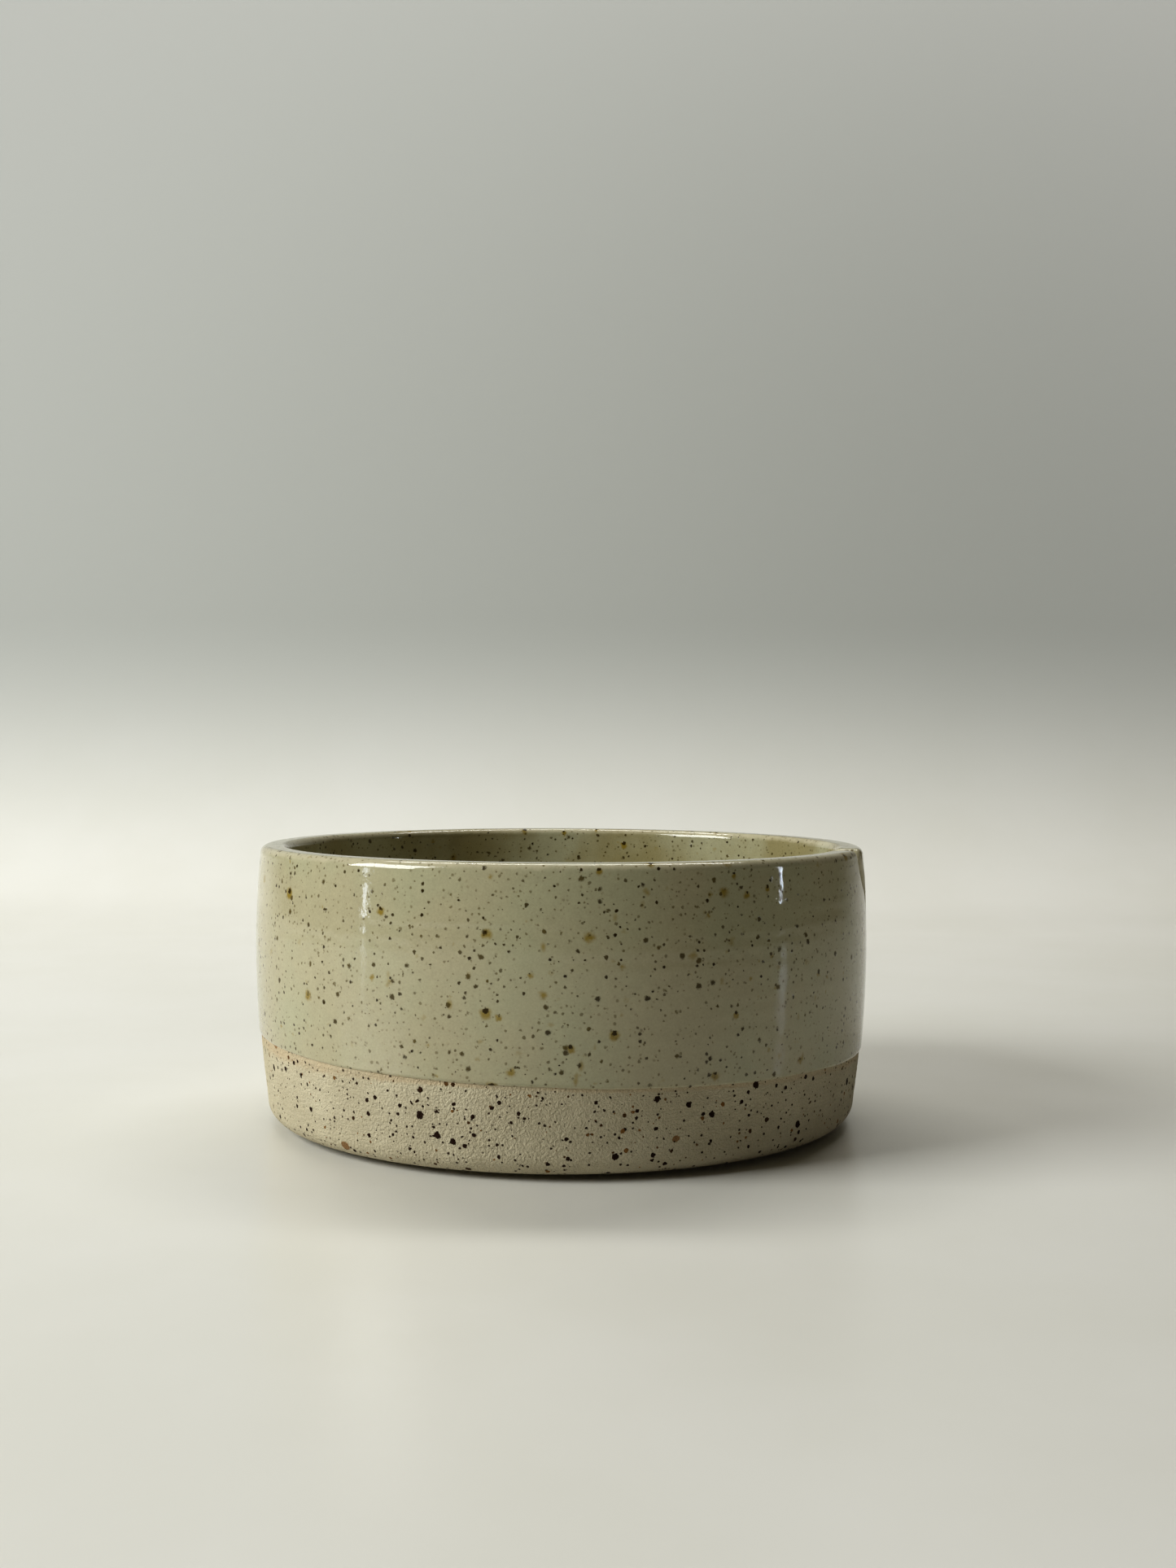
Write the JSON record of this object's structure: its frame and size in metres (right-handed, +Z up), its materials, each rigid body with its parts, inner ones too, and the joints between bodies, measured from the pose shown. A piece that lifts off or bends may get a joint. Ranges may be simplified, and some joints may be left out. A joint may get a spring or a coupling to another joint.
{
  "type": "yarn bowl",
  "caption": "Low straight-sided speckled stoneware yarn bowl, glazed to a dip line above a bare clay base, with a hooked yarn slot cut through the rim.",
  "frame": {"origin": "on the table, under the middle of the bowl", "axes": "+Z up along the bowl's axis; +X out through the middle of the yarn slot; +Y to the right seen from outside the slot, which is the way the hook turns"},
  "size_m": [0.15, 0.15, 0.0674],
  "materials": {
    "raw_stoneware": "matte",
    "liner_glaze": "gloss",
    "outer_glaze": "gloss",
    "slot_glaze": "gloss"
  },
  "bodies": {
    "root": {"clay_body": "raw_stoneware", "liner_glaze": "liner_glaze", "outer_glaze": "outer_glaze", "slot_glaze": "slot_glaze"}
  },
  "joints": []
}
